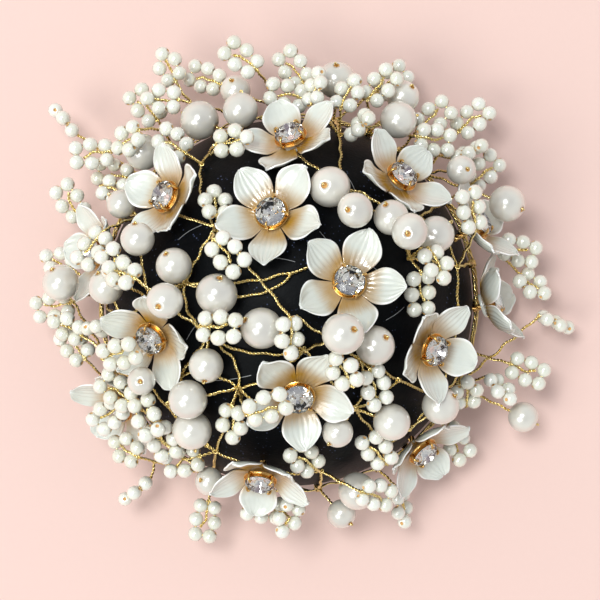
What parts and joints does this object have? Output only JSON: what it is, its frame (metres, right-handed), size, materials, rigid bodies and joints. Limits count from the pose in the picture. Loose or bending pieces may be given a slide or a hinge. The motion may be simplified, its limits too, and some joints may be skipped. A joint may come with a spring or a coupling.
{
  "type": "hair bun cover",
  "caption": "Domed hair bun cover: black cap open below, with gold wire sprigs of pearls, loops of small beads and white flowers set with clear stones.",
  "frame": {"origin": "centre of the round opening for the bun, in the plane that the hem rests on", "axes": "+Z out through the crown; +X to the right and +Y to the top of the picture"},
  "size_m": [0.1423, 0.1306, 0.0742],
  "materials": {
    "cap_satin": "satin black with a faint crinkle",
    "pin_wire": "semi-gloss black",
    "gold_wire": "pale gold, bright",
    "petal_white": "pearly gloss",
    "cup_gold": "polished gold",
    "clear_stone": "clear, faceted",
    "pearl_ivory": "ivory pearl",
    "bead_white": "white pearl"
  },
  "bodies": {
    "root": {"back_bead_loops": "bead_white", "back_pearls": "pearl_ivory", "back_wires": "gold_wire", "cap": "cap_satin", "flower_01_cup": "cup_gold", "flower_01_petals": "petal_white", "flower_01_stone": "clear_stone", "flower_02_cup": "cup_gold", "flower_02_petals": "petal_white", "flower_02_stone": "clear_stone", "flower_03_cup": "cup_gold", "flower_03_petals": "petal_white", "flower_03_stone": "clear_stone", "flower_04_cup": "cup_gold", "flower_04_petals": "petal_white", "flower_04_stone": "clear_stone", "flower_05_cup": "cup_gold", "flower_05_petals": "petal_white", "flower_05_stone": "clear_stone", "flower_06_cup": "cup_gold", "flower_06_petals": "petal_white", "flower_06_stone": "clear_stone", "flower_07_cup": "cup_gold", "flower_07_petals": "petal_white", "flower_07_stone": "clear_stone", "flower_08_cup": "cup_gold", "flower_08_petals": "petal_white", "flower_08_stone": "clear_stone", "flower_09_cup": "cup_gold", "flower_09_petals": "petal_white", "flower_09_stone": "clear_stone", "flower_10_cup": "cup_gold", "flower_10_petals": "petal_white", "flower_10_stone": "clear_stone", "flower_11_cup": "cup_gold", "flower_11_petals": "petal_white", "flower_11_stone": "clear_stone", "flower_12_cup": "cup_gold", "flower_12_petals": "petal_white", "flower_12_stone": "clear_stone", "flower_13_cup": "cup_gold", "flower_13_petals": "petal_white", "flower_13_stone": "clear_stone", "flower_14_cup": "cup_gold", "flower_14_petals": "petal_white", "flower_14_stone": "clear_stone", "front_bead_loops": "bead_white", "front_pearls": "pearl_ivory", "front_wires": "gold_wire", "hair_pin": "pin_wire", "left_bead_loops": "bead_white", "left_pearls": "pearl_ivory", "left_wires": "gold_wire", "right_bead_loops": "bead_white", "right_pearls": "pearl_ivory", "right_wires": "gold_wire", "rim_wire": "gold_wire"}
  },
  "joints": []
}
